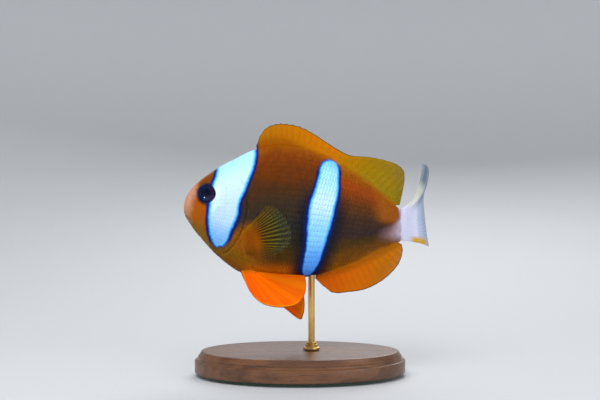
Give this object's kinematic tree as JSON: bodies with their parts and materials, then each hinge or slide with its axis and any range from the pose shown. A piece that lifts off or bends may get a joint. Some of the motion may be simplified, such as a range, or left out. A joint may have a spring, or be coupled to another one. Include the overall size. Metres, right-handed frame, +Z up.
{
  "type": "orange-fin anemonefish model on a display stand",
  "caption": "Life-size, deep-bodied clownfish with blue-white bars, orange fins and a pale tail swung to its right, held on a rod over an oval wooden base.",
  "frame": {"origin": "centre of the stand's flat underside", "axes": "+Z up out of the stand, -X towards the fish's snout, -Y towards the fish's left side"},
  "size_m": [0.102, 0.058, 0.1007],
  "materials": {
    "skin_orange": "moist scaled skin, orange to brown, with a blue-white bar",
    "skin_brown": "moist scaled skin, dark brown, with a blue-white bar",
    "fin_orange": "ribbed fin membrane, orange to yellow, thin dark rim",
    "fin_clear": "thin see-through membrane on olive-yellow rays",
    "fin_white": "blue-white ribbed membrane, partly see-through",
    "eye": "clear glossy cornea over a black pupil and dark brown iris",
    "walnut": "satin-oiled dark walnut",
    "brass": "satin brushed brass",
    "felt": "thin dark green felt"
  },
  "bodies": {
    "root": {"head": "skin_orange", "lower_jaw": "skin_orange", "gill_cover_left": "skin_orange", "gill_cover_right": "skin_orange", "trunk": "skin_brown", "tail": "skin_brown", "dorsal_fin": "fin_orange", "anal_fin": "fin_orange", "caudal_fin": "fin_white", "pectoral_fin_left": "fin_clear", "pectoral_fin_right": "fin_clear", "pelvic_fin_left": "fin_orange", "pelvic_fin_right": "fin_orange", "eye_left": "eye", "eye_right": "eye", "stand_base": "walnut", "stand_felt": "felt", "stand_ferrule": "brass", "stand_rod": "brass"}
  },
  "joints": []
}
